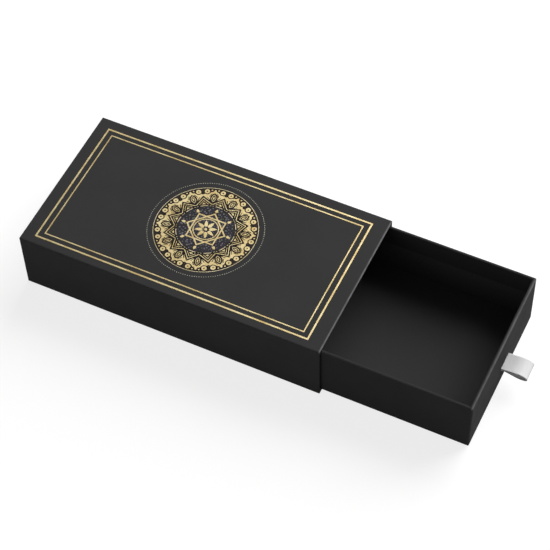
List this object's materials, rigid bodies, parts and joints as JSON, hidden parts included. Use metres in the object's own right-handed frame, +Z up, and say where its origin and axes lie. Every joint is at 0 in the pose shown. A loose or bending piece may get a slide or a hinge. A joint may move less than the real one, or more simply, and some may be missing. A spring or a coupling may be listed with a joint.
{
  "type": "sliding drawer gift box",
  "caption": "Rigid gift box: a paper-covered drawer with a ribbon pull slides out of a matching sleeve with a gold foil ornament on its lid.",
  "frame": {"origin": "middle of the sleeve's underside, on the surface that the box stands on", "axes": "+X the way the drawer comes out, along the sleeve's length; +Y across the sleeve; +Z up, out of the lid"},
  "size_m": [0.3108, 0.106, 0.0441],
  "materials": {
    "greyboard": "matte",
    "cover_paper": "matte",
    "lining_paper": "matte",
    "base_paper": "matte",
    "gold_foil": "satin",
    "kraft_tape": "matte",
    "satin_ribbon": "satin"
  },
  "bodies": {
    "sleeve": {"sleeve_top_board": "greyboard", "sleeve_base_board": "greyboard", "sleeve_near_board": "greyboard", "sleeve_far_board": "greyboard", "sleeve_back_board": "greyboard", "sleeve_wrap": "cover_paper", "sleeve_lining": "lining_paper", "sleeve_base_sheet": "base_paper", "sleeve_back_sheet": "base_paper", "foil_outer_frame": "gold_foil", "foil_inner_frame": "gold_foil", "foil_rings": "gold_foil", "foil_petals": "gold_foil", "foil_pearls": "gold_foil", "foil_dots": "gold_foil", "foil_star": "gold_foil"},
    "drawer": {"tray_base_board": "greyboard", "tray_front_board": "greyboard", "tray_back_board": "greyboard", "tray_near_board": "greyboard", "tray_far_board": "greyboard", "tray_corner_stays": "kraft_tape", "tray_wrap": "cover_paper", "tray_lining": "lining_paper", "ribbon_pull": "satin_ribbon"}
  },
  "joints": [
    {"name": "drawer_slide", "type": "slide", "parent": "sleeve", "child": "drawer", "axis": [1, 0, 0], "range_m": [-0.094, 0.106]}
  ]
}
